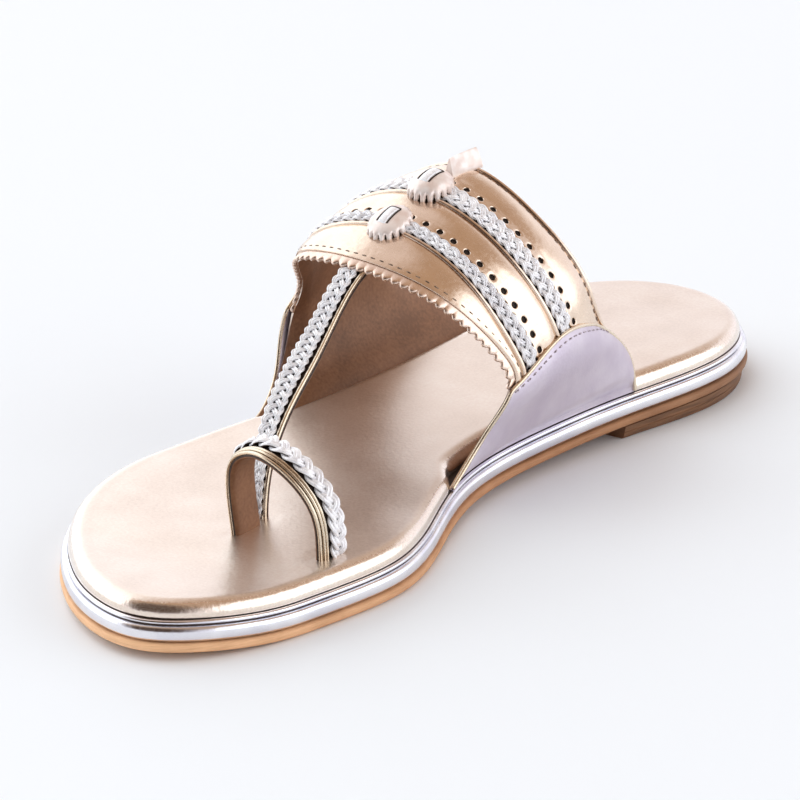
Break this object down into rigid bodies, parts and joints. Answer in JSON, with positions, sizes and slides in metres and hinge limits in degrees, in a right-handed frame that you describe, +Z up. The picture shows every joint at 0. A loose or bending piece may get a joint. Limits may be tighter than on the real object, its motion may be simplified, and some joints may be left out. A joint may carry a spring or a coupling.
{
  "type": "kolhapuri chappal",
  "caption": "Flat leather toe-ring sandal with a braided banded vamp, half-round side wings, a braided toe strap and a padded metallic footbed.",
  "frame": {"origin": "on the floor, under the middle of the sole's length and width", "axes": "+Y from the toe towards the heel, +X towards the other foot (medial side of this right shoe), +Z up from the floor"},
  "size_m": [0.0915, 0.252, 0.0783],
  "materials": {
    "outsole_leather": "matte vegetable-tanned sole edge",
    "heel_leather": "matte stacked heel leather",
    "rand_silver_foil": "silver foil leather, glossy",
    "footbed_champagne": "champagne metallic leather, satin",
    "band_gold_foil": "gold foil leather, glossy",
    "loop_gold": "pale gold leather",
    "wing_pearl": "pearl silver leather, satin",
    "braid_silver": "plaited silver leather strips",
    "ornament_nude": "pale champagne leather"
  },
  "bodies": {
    "root": {"outsole": "outsole_leather", "heel": "heel_leather", "midsole": "rand_silver_foil", "footbed": "footbed_champagne", "upper": "band_gold_foil", "toe_loop": "loop_gold", "wing_medial": "wing_pearl", "wing_lateral": "wing_pearl", "braid_front_medial": "braid_silver", "braid_front_lateral": "braid_silver", "braid_rear_medial": "braid_silver", "braid_rear_lateral": "braid_silver", "braid_strap": "braid_silver", "braid_loop": "braid_silver", "rosette_front": "ornament_nude", "rosette_rear": "ornament_nude", "tab": "ornament_nude"}
  },
  "joints": []
}
